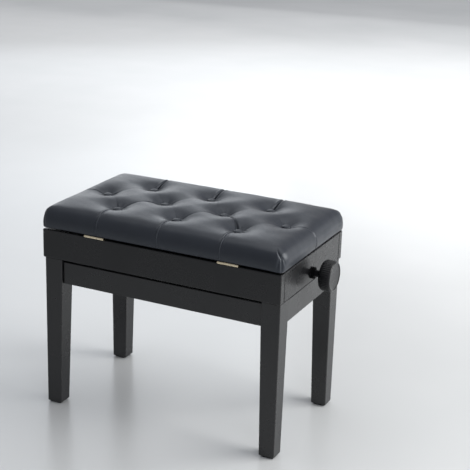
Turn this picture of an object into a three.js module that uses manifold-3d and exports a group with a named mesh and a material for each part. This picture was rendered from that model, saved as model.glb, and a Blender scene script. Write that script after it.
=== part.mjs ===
// Height-adjustable piano bench with a storage box under a tufted, hinged lid.
// Millimetres, +Z up. X runs along the bench, +Y points to its rear (the side away from the hinges).
// The origin is on the floor, below the middle of the bench.

import * as THREE from 'three';
import { RoundedBoxGeometry } from 'three/addons/geometries/RoundedBoxGeometry.js';
import { LoftGeometry } from 'three/addons/geometries/LoftGeometry.js';
import { mergeVertices } from 'three/addons/utils/BufferGeometryUtils.js';
import Module from 'manifold-3d';

const wasm = await Module();
wasm.setup();

// ---- Driving dimensions -------------------------------------------------------------------------

// Seat box and leg frame
const BOX_LENGTH = 560;
const BOX_DEPTH = 325;
const BOX_BOTTOM = 346;
const BOX_TOP = 410;
const PANEL_THICKNESS = 18;
const FRAME_INSET_X = 2;          // the box overhangs the legs by this much at each end
const FRAME_INSET_Y = 5;
const LEG_TOP = 345;
const APRON_TOP = 338;
const APRON_BOTTOM = 289;
const APRON_SETBACK = 6;          // from the outer faces of the legs
const LEG_TOP_WIDTH = 42;
const LEG_FOOT_WIDTH = 35;
const FOOT_PAD_HEIGHT = 3;
const FOOT_PAD_INSET = 3;
const FOOT_PAD_CHAMFER = 1.2;
const EDGE_RADIUS = 2.5;
const GAP = 0.3;                  // between pieces that touch

// Storage floor, lid and cushion
const FLOOR_UNDERSIDE = 379;
const FLOOR_THICKNESS = 5;
const LID_UNDERSIDE = 413.6;
const LID_THICKNESS = 9;
const LID_INSET = 6;
const CUSHION_BOTTOM = 416;
const CUSHION_TOP = 466;
const CUSHION_OVERHANG = 6.5;
const CUSHION_EDGE_RADIUS = 18;
const CUSHION_CORNER_RADIUS = 22;
const CUSHION_CROWN = 5;
const BUTTON_PITCH_X = 144;
const BUTTON_ROW_Y = 80;
const BUTTON_RADIUS = 9.5;
const BUTTON_SEAT = 450.5;          // underside of a button
const BUTTON_HEIGHT = 6;
const BUTTON_POCKET_RADIUS = 11.5;

// Hinges
const HINGE_MIDDLE = { left: -150, right: 163 };
const HINGE_LENGTH = 47;
const HINGE_BARREL_RADIUS = 2.8;
const HINGE_PIN_RADIUS = 1.3;
const HINGE_AXIS_Y = -163.8;
const HINGE_AXIS_Z = 412.4;
const HINGE_LEAF_WIDTH = 17.5;     // from the hinge axis to the leaf's far edge
const HINGE_LEAF_THICKNESS = 1;

// Drive screw and knobs
const SCREW_HEIGHT = 364;
const SCREW_RADIUS = 7;
const SCREW_CLEARANCE = 1.2;      // radial play of the nut, which follows the arms' true arc
const BUSHING_BORE = 7.5;
const BUSHING_SLEEVE_RADIUS = 10;
const BUSHING_FLANGE_RADIUS = 12.5;
const BUSHING_FLANGE_THICKNESS = 4;
const KNOB_RADIUS = 34;
const KNOB_THICKNESS = 27;
const KNOB_FACE_X = 330;
const KNOB_BACK_BEVEL = 4;
const KNOB_RIM_DEPTH = 4;
const KNOB_HUB_RADIUS = 11.5;
const KNOB_HUB_LENGTH = 7;
const KNOB_FLUTES = 16;
const KNOB_FLUTE_DEPTH = 1.4;
const KNOB_SCREW_GRIP = 16;       // length of screw held inside each knob and its hub

// Scissor lift
const ARM_REACH = 340;            // between the end pivots of an arm
const ARM_WIDTH = 24;
const ARM_THICKNESS = 3;
const ARM_FIXED_X = -165;         // the end that stays put
const LOWER_PIVOT_Z = 306;
const UPPER_PIVOT_Z = SCREW_HEIGHT;
const LIFT = 90;
const PIVOT_RADIUS = 5;
const PIVOT_CLEARANCE = 0.4;
const OPEN_PIVOT_CLEARANCE = 1.2; // top end of the inner arms, where the linkage is opened
const OUTER_ARM_Y = 57.5;
const INNER_ARM_Y = 52.5;
const RAIL_Y = 62.5;
const RAIL_THICKNESS = 3;
const RAIL_BOTTOM = 291;
const RAIL_HEIGHT = 30;
const RAIL_TAB = 22;
const RIVET_HEAD_RADIUS = 7.5;
const RIVET_HEAD_THICKNESS = 1.6;
const NUT_BLOCK = [28, 30, 26];
const BRACKET_Y = 46;
const BRACKET_PLATE_LENGTH = 30;
const BRACKET_FLANGE_LENGTH = 60;
const BRACKET_FLANGE_WIDTH = 26;
const BRACKET_THICKNESS = 3;
const BRACKET_STUD_LENGTH = 9.5;

// ---- Materials ----------------------------------------------------------------------------------

const finish = (color, roughness, metalness = 0) => (
  new THREE.MeshStandardMaterial({ color, roughness, metalness })
);
const blackPaint = finish(0x1b1c1e, 0.42);
const bareWood = finish(0xb99a6b, 0.7);
const leatherette = finish(0x17191d, 0.38);
const padPlastic = finish(0x0b0b0c, 0.6);
const knobPlastic = finish(0x0f1012, 0.3);
const hingeBrass = finish(0xd9c9a0, 0.3, 1);
const zincSteel = finish(0x9a9ea3, 0.35, 1);
const paintedSteel = finish(0x141516, 0.45, 0.3);

// ---- Geometry helpers ---------------------------------------------------------------------------

function toSolid(geometry) {
  const plain = new THREE.BufferGeometry().copy(geometry);
  plain.deleteAttribute('normal');
  plain.deleteAttribute('uv');
  const welded = mergeVertices(plain, 1e-4);
  return new wasm.Manifold(new wasm.Mesh({
    numProp: 3,
    vertProperties: new Float32Array(welded.attributes.position.array),
    triVerts: new Uint32Array(welded.index.array),
  }));
}

function toGeometry(solid) {
  const mesh = solid.getMesh();
  const geometry = new THREE.BufferGeometry();
  geometry.setAttribute('position', new THREE.BufferAttribute(mesh.vertProperties.slice(), 3));
  geometry.setIndex(new THREE.BufferAttribute(mesh.triVerts.slice(), 1));
  geometry.computeVertexNormals();
  return geometry;
}

function cut(geometry, ...tools) {
  let solid = toSolid(geometry);
  for (const tool of tools) solid = solid.subtract(toSolid(tool));
  return toGeometry(solid);
}

function join(geometry, ...others) {
  let solid = toSolid(geometry);
  for (const other of others) solid = solid.add(toSolid(other));
  return toGeometry(solid);
}

function box(sx, sy, sz, x = 0, y = 0, z = 0) {
  return new THREE.BoxGeometry(sx, sy, sz).translate(x, y, z);
}

function roundedBoard(sx, sy, sz, radius, segments = 2) {
  return new RoundedBoxGeometry(sx, sy, sz, segments, radius);
}

// A cylinder along the X, Y or Z axis, centred on the given point.
function rod(axis, radius, length, x = 0, y = 0, z = 0, sides = 16) {
  const geometry = new THREE.CylinderGeometry(radius, radius, length, sides);
  if (axis === 'x') geometry.rotateZ(Math.PI / 2);
  if (axis === 'z') geometry.rotateX(Math.PI / 2);
  return geometry.translate(x, y, z);
}

function extrude(points, depth) {
  return new THREE.ExtrudeGeometry(new THREE.Shape(points), { depth, bevelEnabled: false });
}

const v2 = (x, y) => new THREE.Vector2(x, y);

// Points of a rounded rectangle in a level plane, counterclockwise from above.
function roundedRing(x0, y0, x1, y1, z, radius, perCorner) {
  const corners = [
    [x1 - radius, y1 - radius],
    [x0 + radius, y1 - radius],
    [x0 + radius, y0 + radius],
    [x1 - radius, y0 + radius],
  ];
  const ring = [];
  corners.forEach(([cx, cy], quarter) => {
    for (let i = 0; i <= perCorner; i += 1) {
      const angle = (quarter + i / perCorner) * Math.PI / 2;
      ring.push(new THREE.Vector3(cx + radius * Math.cos(angle), cy + radius * Math.sin(angle), z));
    }
  });
  return ring;
}

function loft(rings) {
  return new LoftGeometry(rings, { capStart: true, capEnd: true });
}

const bench = new THREE.Group();

function place(name, geometry, material, x = 0, y = 0, z = 0, parent = bench) {
  const mesh = new THREE.Mesh(geometry, material);
  mesh.name = name;
  mesh.position.set(x, y, z);
  parent.add(mesh);
  return mesh;
}

const SIDES = [['left', -1], ['right', 1]];
const FACES = [['front', -1], ['rear', 1]];

// ---- Leg frame ----------------------------------------------------------------------------------

const frameHalfX = BOX_LENGTH / 2 - FRAME_INSET_X;
const frameHalfY = BOX_DEPTH / 2 - FRAME_INSET_Y;
const legInnerX = frameHalfX - LEG_TOP_WIDTH;
const legInnerY = frameHalfY - LEG_TOP_WIDTH;
const apronOuterX = frameHalfX - APRON_SETBACK;
const apronOuterY = frameHalfY - APRON_SETBACK;
const apronInnerX = apronOuterX - PANEL_THICKNESS;
const apronInnerY = apronOuterY - PANEL_THICKNESS;
const apronHeight = APRON_TOP - APRON_BOTTOM;
const apronMidZ = (APRON_TOP + APRON_BOTTOM) / 2;

// One leg for the +X +Y corner: its outer faces are plumb and its inner faces taper below the aprons.
function legRing(width, z, shrink = 0) {
  return roundedRing(
    frameHalfX - width + shrink,
    frameHalfY - width + shrink,
    frameHalfX - shrink,
    frameHalfY - shrink,
    z,
    EDGE_RADIUS,
    3,
  );
}

function legGeometry() {
  const foot = FOOT_PAD_HEIGHT + GAP;
  return loft([
    legRing(LEG_FOOT_WIDTH, foot, 1),
    legRing(LEG_FOOT_WIDTH, foot + 1),
    legRing(LEG_TOP_WIDTH, APRON_BOTTOM - 2),
    legRing(LEG_TOP_WIDTH, LEG_TOP - 1),
    legRing(LEG_TOP_WIDTH, LEG_TOP, 1),
  ]);
}

// A copy of a piece made for the +X +Y corner, turned or mirrored into another corner.
function toCorner(geometry, signX, signY) {
  const moved = new THREE.BufferGeometry().copy(geometry).scale(signX, signY, 1);
  if (signX * signY < 0) {
    const index = moved.index.array;
    for (let i = 0; i < index.length; i += 3) [index[i], index[i + 1]] = [index[i + 1], index[i]];
  }
  return moved;
}

// Corner block: a diagonal board behind each leg, between the inner faces of the two aprons.
const BLOCK_THICKNESS = 20;
const BLOCK_BOTTOM = 297;
const BLOCK_TOP = 336;
const BOLT_RADIUS = 3;
const BOLT_HEIGHT = 318;
const BOLT_DEPTH_IN_LEG = 24;
const blockReachX = apronInnerX - GAP;
const blockReachY = apronInnerY - GAP;
const blockOuterSum = legInnerX + legInnerY - 0.7;
const blockInnerSum = blockOuterSum - BLOCK_THICKNESS * Math.SQRT2;

function cornerBlockGeometry() {
  const outline = [
    v2(blockInnerSum - blockReachY, blockReachY),
    v2(blockReachX, blockInnerSum - blockReachX),
    v2(blockReachX, blockOuterSum - blockReachX),
    v2(blockOuterSum - blockReachY, blockReachY),
  ];
  return extrude(outline, BLOCK_TOP - BLOCK_BOTTOM).translate(0, 0, BLOCK_BOTTOM);
}

// The bolt lies on the diagonal through the leg's inner edge. Local +Z points outwards to the leg.
function alongDiagonal(geometry, depth) {
  const inner = new THREE.Vector3(legInnerX, legInnerY, BOLT_HEIGHT);
  const outwards = new THREE.Vector3(1, 1, 0).normalize();
  const turn = new THREE.Quaternion().setFromUnitVectors(new THREE.Vector3(0, 0, 1), outwards);
  const at = inner.addScaledVector(outwards, depth);
  return geometry.applyQuaternion(turn).translate(at.x, at.y, at.z);
}

function boltHole(radius) {
  const length = BLOCK_THICKNESS + BOLT_DEPTH_IN_LEG + 12;
  return alongDiagonal(rod('z', radius, length, 0, 0, 0, 12), BOLT_DEPTH_IN_LEG + 1 - length / 2);
}

function boltGeometry() {
  const shank = BLOCK_THICKNESS + BOLT_DEPTH_IN_LEG + 8;
  const headBase = -BLOCK_THICKNESS - 0.5 - GAP;
  return join(
    alongDiagonal(rod('z', BOLT_RADIUS, shank, 0, 0, 0, 12), BOLT_DEPTH_IN_LEG - shank / 2),
    alongDiagonal(rod('z', 8, 1.6, 0, 0, 0, 16), headBase - 0.8),
    alongDiagonal(rod('z', 5.6, 5, 0, 0, 0, 6), headBase - 1.6 - 2.4),
  );
}

function buildLegFrame() {
  const leg = cut(legGeometry(), boltHole(BOLT_RADIUS + GAP));
  const block = cut(cornerBlockGeometry(), boltHole(BOLT_RADIUS + GAP));
  const bolt = boltGeometry();
  const padHalf = LEG_FOOT_WIDTH / 2 - FOOT_PAD_INSET;
  const sole = padHalf - FOOT_PAD_CHAMFER;
  const pad = loft([
    roundedRing(-sole, -sole, sole, sole, 0, 3, 3),
    roundedRing(-padHalf, -padHalf, padHalf, padHalf, FOOT_PAD_CHAMFER, 3.5, 3),
    roundedRing(-padHalf, -padHalf, padHalf, padHalf, FOOT_PAD_HEIGHT, 3.5, 3),
  ]);
  const footX = frameHalfX - LEG_FOOT_WIDTH / 2;
  const footY = frameHalfY - LEG_FOOT_WIDTH / 2;
  for (const [face, signY] of FACES) {
    for (const [side, signX] of SIDES) {
      place(`leg_${face}_${side}`, toCorner(leg, signX, signY), blackPaint);
      place(`foot_pad_${face}_${side}`, pad, padPlastic, signX * footX, signY * footY, 0);
      place(`corner_block_${face}_${side}`, toCorner(block, signX, signY), bareWood);
      place(`leg_bolt_${face}_${side}`, toCorner(bolt, signX, signY), zincSteel);
    }
    const longApron = roundedBoard(2 * (legInnerX - GAP), PANEL_THICKNESS, apronHeight, 1.2, 1);
    place(`apron_${face}`, longApron, blackPaint, 0, signY * (apronOuterY - PANEL_THICKNESS / 2), apronMidZ);
  }
  for (const [side, signX] of SIDES) {
    const endApron = roundedBoard(PANEL_THICKNESS, 2 * (legInnerY - GAP), apronHeight, 1.2, 1);
    place(`apron_${side}`, endApron, blackPaint, signX * (apronOuterX - PANEL_THICKNESS / 2), 0, apronMidZ);
  }
}

// ---- Scissor lift -------------------------------------------------------------------------------

const restAngle = Math.asin((UPPER_PIVOT_Z - LOWER_PIVOT_Z) / ARM_REACH);
const raisedAngle = Math.asin((UPPER_PIVOT_Z + LIFT - LOWER_PIVOT_Z) / ARM_REACH);
const slidingRestX = ARM_FIXED_X + ARM_REACH * Math.cos(restAngle);
const slidingRaisedX = ARM_FIXED_X + ARM_REACH * Math.cos(raisedAngle);
const railHalfX = apronInnerX - GAP;

// Base rail: a steel strip on edge, with a tab at each end that is screwed to the end apron.
function railGeometry(signY) {
  const web = box(2 * railHalfX, RAIL_THICKNESS, RAIL_HEIGHT);
  const tabs = SIDES.map(([, signX]) => box(
    RAIL_THICKNESS,
    RAIL_TAB,
    RAIL_HEIGHT,
    signX * (railHalfX - RAIL_THICKNESS / 2),
    -signY * (RAIL_TAB - RAIL_THICKNESS) / 2,
  ));
  const pivotZ = LOWER_PIVOT_Z - RAIL_BOTTOM - RAIL_HEIGHT / 2;
  const hole = rod('y', PIVOT_RADIUS + GAP, 20, ARM_FIXED_X, 0, pivotZ);
  const slotEnds = [slidingRaisedX - 4, slidingRestX + 4];
  const slotRadius = PIVOT_RADIUS + PIVOT_CLEARANCE;
  const slot = join(
    rod('y', slotRadius, 20, slotEnds[0], 0, pivotZ),
    rod('y', slotRadius, 20, slotEnds[1], 0, pivotZ),
    box(slotEnds[1] - slotEnds[0], 20, 2 * slotRadius, (slotEnds[0] + slotEnds[1]) / 2, 0, pivotZ),
  );
  return cut(join(web, ...tabs), hole, slot);
}

// A flat arm with round ends, lying along local +X from its first pivot, centred on its thickness.
function armGeometry(firstHole, lastHole) {
  const half = ARM_WIDTH / 2;
  const outline = new THREE.Shape();
  outline.absarc(ARM_REACH, 0, half, -Math.PI / 2, Math.PI / 2, false);
  outline.absarc(0, 0, half, Math.PI / 2, 3 * Math.PI / 2, false);
  const holes = [[0, firstHole], [ARM_REACH / 2, PIVOT_RADIUS + PIVOT_CLEARANCE], [ARM_REACH, lastHole]];
  for (const [x, radius] of holes) {
    const hole = new THREE.Path();
    hole.absarc(x, 0, radius, 0, 2 * Math.PI, true);
    outline.holes.push(hole);
  }
  const flat = new THREE.ExtrudeGeometry(outline, {
    depth: ARM_THICKNESS,
    bevelEnabled: false,
    curveSegments: 7,
  });
  return flat.translate(0, 0, -ARM_THICKNESS / 2).rotateX(Math.PI / 2);
}

function buildScissorLift() {
  const joined = PIVOT_RADIUS + PIVOT_CLEARANCE;
  const railZ = RAIL_BOTTOM + RAIL_HEIGHT / 2;
  for (const [face, signY] of FACES) {
    place(`base_rail_${face}`, railGeometry(signY), paintedSteel, 0, signY * RAIL_Y, railZ);

    const outer = place(`outer_arm_${face}`, armGeometry(joined, joined), zincSteel);
    outer.position.set(ARM_FIXED_X, signY * OUTER_ARM_Y, LOWER_PIVOT_Z);
    outer.rotation.y = -restAngle;

    const openHole = PIVOT_RADIUS + OPEN_PIVOT_CLEARANCE;
    const inner = place(`inner_arm_${face}`, armGeometry(openHole, joined), zincSteel);
    inner.position.set(ARM_FIXED_X, signY * INNER_ARM_Y, UPPER_PIVOT_Z);
    inner.rotation.y = restAngle;

    const rivetY = signY * (OUTER_ARM_Y + INNER_ARM_Y) / 2;
    const rivetX = ARM_FIXED_X + ARM_REACH / 2 * Math.cos(restAngle);
    const rivetZ = (LOWER_PIVOT_Z + UPPER_PIVOT_Z) / 2;
    const shankLength = OUTER_ARM_Y - INNER_ARM_Y + 2 * ARM_THICKNESS;
    const headY = -signY * (shankLength / 2 + 0.1);
    const rivet = join(
      rod('y', PIVOT_RADIUS, shankLength),
      rod('y', RIVET_HEAD_RADIUS, RIVET_HEAD_THICKNESS, 0, headY, 0),
    );
    place(`centre_rivet_${face}`, rivet, zincSteel, rivetX, rivetY, rivetZ);
  }
  const rodReach = RAIL_Y + RAIL_THICKNESS / 2 + 4;
  place('lower_fixed_rod', rod('y', PIVOT_RADIUS, 2 * rodReach), zincSteel, ARM_FIXED_X, 0, LOWER_PIVOT_Z);
  place('lower_sliding_rod', rod('y', PIVOT_RADIUS, 2 * rodReach), zincSteel, slidingRestX, 0, LOWER_PIVOT_Z);

  // Trunnion nut: a block on the screw with a round stub to each outer arm.
  const nutBlock = roundedBoard(...NUT_BLOCK, 2, 1);
  const trunnions = rod('y', PIVOT_RADIUS, 2 * (OUTER_ARM_Y + ARM_THICKNESS / 2 + 1));
  const thread = rod('x', SCREW_RADIUS + SCREW_CLEARANCE, 60);
  const nut = cut(join(nutBlock, trunnions), thread);
  place('trunnion_nut', nut, zincSteel, slidingRestX, 0, UPPER_PIVOT_Z);

  // Top brackets: an angle under the storage floor with the stud that the inner arm hangs on.
  const flangeTop = FLOOR_UNDERSIDE - GAP;
  for (const [face, signY] of FACES) {
    const plateBottom = UPPER_PIVOT_Z - ARM_WIDTH / 2;
    const plateHeight = flangeTop - plateBottom;
    const plateZ = plateBottom + plateHeight / 2 - UPPER_PIVOT_Z;
    const plate = box(BRACKET_PLATE_LENGTH, BRACKET_THICKNESS, plateHeight, 0, 0, plateZ);
    const flangeY = -signY * (BRACKET_FLANGE_WIDTH - BRACKET_THICKNESS) / 2;
    const flangeZ = flangeTop - BRACKET_THICKNESS / 2 - UPPER_PIVOT_Z;
    const flange = box(BRACKET_FLANGE_LENGTH, BRACKET_FLANGE_WIDTH, BRACKET_THICKNESS, 0, flangeY, flangeZ);
    const stud = rod('y', PIVOT_RADIUS, BRACKET_STUD_LENGTH, 0, signY * 4.5, 0);
    place(
      `top_bracket_${face}`,
      join(plate, flange, stud),
      paintedSteel,
      ARM_FIXED_X,
      signY * BRACKET_Y,
      UPPER_PIVOT_Z,
    );
  }
}

// ---- Drive screw --------------------------------------------------------------------------------

// Knob for the right end. Local +X points away from the bench and the face is at x = 0.
function knobGeometry() {
  const points = [];
  const perFlute = 4;
  for (let i = 0; i < KNOB_FLUTES * perFlute; i += 1) {
    const angle = 2 * Math.PI * i / (KNOB_FLUTES * perFlute);
    const wave = (1 - Math.cos(2 * Math.PI * i / perFlute)) / 2;
    const radius = KNOB_RADIUS - 0.8 - KNOB_FLUTE_DEPTH * wave;
    points.push(v2(radius * Math.cos(angle), radius * Math.sin(angle)));
  }
  const grip = extrude(points, KNOB_THICKNESS - KNOB_RIM_DEPTH);
  grip.translate(0, 0, -KNOB_THICKNESS + 0.5);
  const envelope = [
    v2(0, -KNOB_THICKNESS),
    v2(KNOB_RADIUS - KNOB_BACK_BEVEL, -KNOB_THICKNESS),
    v2(KNOB_RADIUS, -KNOB_THICKNESS + KNOB_BACK_BEVEL - 1),
    v2(KNOB_RADIUS, 1),
    v2(0, 1),
  ];
  const rim = [
    v2(0, -KNOB_RIM_DEPTH),
    v2(KNOB_RADIUS, -KNOB_RIM_DEPTH),
    v2(KNOB_RADIUS, -1),
    v2(KNOB_RADIUS - 1, 0),
    v2(KNOB_RADIUS - 3, 0),
    v2(KNOB_RADIUS - 4.5, -1.2),
    v2(0, -1.2),
  ];
  const hubEnd = -KNOB_THICKNESS - KNOB_HUB_LENGTH;
  const hub = [
    v2(0, hubEnd),
    v2(KNOB_HUB_RADIUS - 1, hubEnd),
    v2(KNOB_HUB_RADIUS, hubEnd + 1),
    v2(KNOB_HUB_RADIUS, -KNOB_THICKNESS + 3),
    v2(0, -KNOB_THICKNESS + 3),
  ];
  const turned = (profile, sides) => (
    new THREE.LatheGeometry(profile, sides).rotateX(Math.PI / 2)
  );
  const body = toSolid(grip).intersect(toSolid(turned(envelope, 32)));
  const whole = body.add(toSolid(turned(rim, 32))).add(toSolid(turned(hub, 16)));
  return toGeometry(whole).rotateY(Math.PI / 2);
}

function buildDriveScrew() {
  const knobBack = KNOB_FACE_X - KNOB_THICKNESS - KNOB_HUB_LENGTH;
  const screwHalf = knobBack + KNOB_SCREW_GRIP;
  const boreStart = knobBack - 7;
  const boreLength = screwHalf + 2 - boreStart;
  const bore = rod('x', SCREW_RADIUS + GAP, boreLength, boreStart + boreLength / 2 - KNOB_FACE_X);
  const knob = cut(knobGeometry(), bore);
  place('drive_screw', rod('x', SCREW_RADIUS, 2 * screwHalf, 0, 0, 0, 24), zincSteel, 0, 0, SCREW_HEIGHT);
  for (const [side, signX] of SIDES) {
    const turned = signX > 0 ? knob : knob.clone().rotateZ(Math.PI);
    place(`knob_${side}`, turned, knobPlastic, signX * KNOB_FACE_X, 0, SCREW_HEIGHT);

    const wallX = BOX_LENGTH / 2;
    const flangeX = wallX + GAP + BUSHING_FLANGE_THICKNESS / 2;
    const sleeveLength = PANEL_THICKNESS + 2;
    const bushing = cut(
      join(
        rod('x', BUSHING_FLANGE_RADIUS, BUSHING_FLANGE_THICKNESS, signX * flangeX),
        rod('x', BUSHING_SLEEVE_RADIUS, sleeveLength, signX * (flangeX - sleeveLength / 2)),
      ),
      rod('x', BUSHING_BORE, 80, signX * wallX),
    );
    place(`screw_bushing_${side}`, bushing, padPlastic, 0, 0, SCREW_HEIGHT);
  }
}

// ---- Seat box -----------------------------------------------------------------------------------

const panelHeight = BOX_TOP - BOX_BOTTOM;
const panelMidZ = (BOX_TOP + BOX_BOTTOM) / 2;
const boxInnerX = BOX_LENGTH / 2 - PANEL_THICKNESS;
const boxInnerY = BOX_DEPTH / 2 - PANEL_THICKNESS;

function buildSeatBox() {
  for (const [face, signY] of FACES) {
    const longPanel = roundedBoard(BOX_LENGTH, PANEL_THICKNESS, panelHeight, EDGE_RADIUS);
    const y = signY * (BOX_DEPTH - PANEL_THICKNESS) / 2;
    place(`box_${face}`, longPanel, blackPaint, 0, y, panelMidZ);
  }
  for (const [side, signX] of SIDES) {
    const endPanel = roundedBoard(PANEL_THICKNESS, 2 * (boxInnerY - GAP), panelHeight, EDGE_RADIUS);
    const bore = rod('x', BUSHING_SLEEVE_RADIUS + GAP, 40, 0, 0, SCREW_HEIGHT - panelMidZ);
    const x = signX * (BOX_LENGTH - PANEL_THICKNESS) / 2;
    place(`box_${side}`, cut(endPanel, bore), blackPaint, x, 0, panelMidZ);
  }
  const floorBoard = box(2 * (boxInnerX - GAP), 2 * (boxInnerY - GAP), FLOOR_THICKNESS);
  place('box_floor', floorBoard, bareWood, 0, 0, FLOOR_UNDERSIDE + FLOOR_THICKNESS / 2);
}

// ---- Lid, cushion and buttons -------------------------------------------------------------------

// Level rings from the bottom edge up over the rounded top edge to a shallow crown.
function cushionShell() {
  const halfX = BOX_LENGTH / 2 + CUSHION_OVERHANG;
  const halfY = BOX_DEPTH / 2 + CUSHION_OVERHANG;
  const ring = (inset, z) => roundedRing(
    inset - halfX,
    inset - halfY,
    halfX - inset,
    halfY - inset,
    z,
    Math.max(CUSHION_CORNER_RADIUS - inset, 2),
    4,
  );
  const edgeTop = CUSHION_TOP - CUSHION_CROWN;
  const rings = [ring(3, CUSHION_BOTTOM), ring(0, CUSHION_BOTTOM + 8)];
  const steps = 4;
  for (let i = 0; i <= steps; i += 1) {
    const angle = i / steps * Math.PI / 2;
    const inset = CUSHION_EDGE_RADIUS * (1 - Math.cos(angle));
    rings.push(ring(inset, edgeTop + CUSHION_EDGE_RADIUS * (Math.sin(angle) - 1)));
  }
  rings.push(ring(CUSHION_EDGE_RADIUS + 45, CUSHION_TOP));
  return rings;
}

function buttonPlaces() {
  const places = [];
  for (const [row, count] of [[-1, 3], [0, 4], [1, 3]]) {
    for (let i = 0; i < count; i += 1) {
      places.push([(i - (count - 1) / 2) * BUTTON_PITCH_X, row * BUTTON_ROW_Y]);
    }
  }
  return places;
}

function buildLid() {
  const lidHalfX = BOX_LENGTH / 2 - LID_INSET;
  const lidHalfY = BOX_DEPTH / 2 - LID_INSET;
  const board = roundedBoard(2 * lidHalfX, 2 * lidHalfY, LID_THICKNESS, 1.5, 1);
  place('lid_board', board, blackPaint, 0, 0, LID_UNDERSIDE + LID_THICKNESS / 2);

  const recessTop = LID_UNDERSIDE + LID_THICKNESS + GAP;
  const recess = box(2 * (lidHalfX + GAP), 2 * (lidHalfY + GAP), 40, 0, 0, recessTop - 20);
  const pockets = buttonPlaces().map(([x, y]) => (
    rod('z', BUTTON_POCKET_RADIUS, 40, x, y, BUTTON_SEAT - GAP + 20, 12)
  ));
  place('cushion', cut(loft(cushionShell()), recess, ...pockets), leatherette);

  const profile = [v2(0, 0), v2(BUTTON_RADIUS - 0.5, 0), v2(BUTTON_RADIUS, 1.5)];
  const steps = 3;
  for (let i = 1; i < steps; i += 1) {
    const angle = i / steps * Math.PI / 2;
    profile.push(v2(BUTTON_RADIUS * Math.cos(angle), 1.5 + (BUTTON_HEIGHT - 1.5) * Math.sin(angle)));
  }
  profile.push(v2(0, BUTTON_HEIGHT));
  const button = new THREE.LatheGeometry(profile, 12).rotateX(Math.PI / 2);
  buttonPlaces().forEach(([x, y], i) => {
    place(`cushion_button_${String(i + 1).padStart(2, '0')}`, button, leatherette, x, y, BUTTON_SEAT);
  });
}

// ---- Hinges -------------------------------------------------------------------------------------

// Knuckles lie on local X, with the hinge axis as the origin.
function buildHinges() {
  const knuckle = HINGE_LENGTH / 3;
  const play = 0.25;
  const outer = knuckle - play;
  const outerX = (HINGE_LENGTH - outer) / 2;
  const leafStart = HINGE_BARREL_RADIUS + 0.6;
  const leafY = leafStart + (HINGE_LEAF_WIDTH - leafStart) / 2;
  const boxLeafZ = BOX_TOP + GAP + HINGE_LEAF_THICKNESS / 2 - HINGE_AXIS_Z;
  const lidLeafZ = LID_UNDERSIDE - GAP - HINGE_LEAF_THICKNESS / 2 - HINGE_AXIS_Z;
  const barrel = (length, x) => rod('x', HINGE_BARREL_RADIUS, length, x, 0, 0, 14);
  const leaf = (z) => box(HINGE_LENGTH, HINGE_LEAF_WIDTH - leafStart, HINGE_LEAF_THICKNESS, 0, leafY, z);
  const strapReach = leafStart + 1;
  const strap = (length, x, z) => (
    box(length, strapReach, HINGE_LEAF_THICKNESS, x, strapReach / 2 + 0.4, z)
  );
  const boxLeaf = join(
    leaf(boxLeafZ),
    strap(outer, -outerX, boxLeafZ),
    strap(outer, outerX, boxLeafZ),
    barrel(outer, -outerX),
    barrel(outer, outerX),
    rod('x', HINGE_PIN_RADIUS, HINGE_LENGTH - 2, 0, 0, 0, 12),
  );
  const lidLeaf = cut(
    join(leaf(lidLeafZ), strap(knuckle - play, 0, lidLeafZ), barrel(knuckle - play, 0)),
    rod('x', HINGE_PIN_RADIUS + GAP, HINGE_LENGTH, 0, 0, 0, 12),
  );
  for (const [side, x] of Object.entries(HINGE_MIDDLE)) {
    place(`hinge_box_leaf_${side}`, boxLeaf, hingeBrass, x, HINGE_AXIS_Y, HINGE_AXIS_Z);
    place(`hinge_lid_leaf_${side}`, lidLeaf, hingeBrass, x, HINGE_AXIS_Y, HINGE_AXIS_Z);
  }
}

buildLegFrame();
buildScissorLift();
buildDriveScrew();
buildSeatBox();
buildLid();
buildHinges();

export default bench;
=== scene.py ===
import math

import bpy
import numpy as np
from mathutils import Matrix, Vector


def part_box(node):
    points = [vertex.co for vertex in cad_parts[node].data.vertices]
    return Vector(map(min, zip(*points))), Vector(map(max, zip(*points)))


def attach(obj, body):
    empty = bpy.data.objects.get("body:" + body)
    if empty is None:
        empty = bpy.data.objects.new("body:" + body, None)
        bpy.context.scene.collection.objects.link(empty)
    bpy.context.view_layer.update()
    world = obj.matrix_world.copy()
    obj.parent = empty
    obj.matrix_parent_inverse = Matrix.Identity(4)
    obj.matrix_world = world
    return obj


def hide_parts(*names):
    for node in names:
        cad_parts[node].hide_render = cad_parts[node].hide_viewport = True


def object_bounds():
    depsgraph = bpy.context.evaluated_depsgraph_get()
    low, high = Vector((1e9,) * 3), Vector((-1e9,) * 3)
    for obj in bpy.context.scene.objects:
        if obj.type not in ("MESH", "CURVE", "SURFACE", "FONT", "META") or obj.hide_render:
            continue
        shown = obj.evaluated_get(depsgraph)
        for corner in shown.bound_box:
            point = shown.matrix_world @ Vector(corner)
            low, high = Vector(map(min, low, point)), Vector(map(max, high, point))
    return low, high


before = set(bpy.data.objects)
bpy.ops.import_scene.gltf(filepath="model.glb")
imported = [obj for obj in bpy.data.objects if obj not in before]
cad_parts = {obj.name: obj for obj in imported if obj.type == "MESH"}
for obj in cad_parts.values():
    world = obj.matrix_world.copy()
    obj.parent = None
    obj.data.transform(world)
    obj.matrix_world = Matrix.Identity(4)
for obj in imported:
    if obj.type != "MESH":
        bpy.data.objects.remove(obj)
cad_low, cad_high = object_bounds()

MM = 0.001                                # positions and sizes are in metres
SIDES = {"left": -1, "right": 1}          # the two ends of the bench, and their signs along X


# ---- Small helpers --------------------------------------------------------------------------------

def smoothstep(low, high, value):
    t = np.clip((value - low) / (high - low), 0, 1)
    return t * t * (3 - 2 * t)


def centre_of(node):
    low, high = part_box(node)
    return (low + high) / 2


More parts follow.
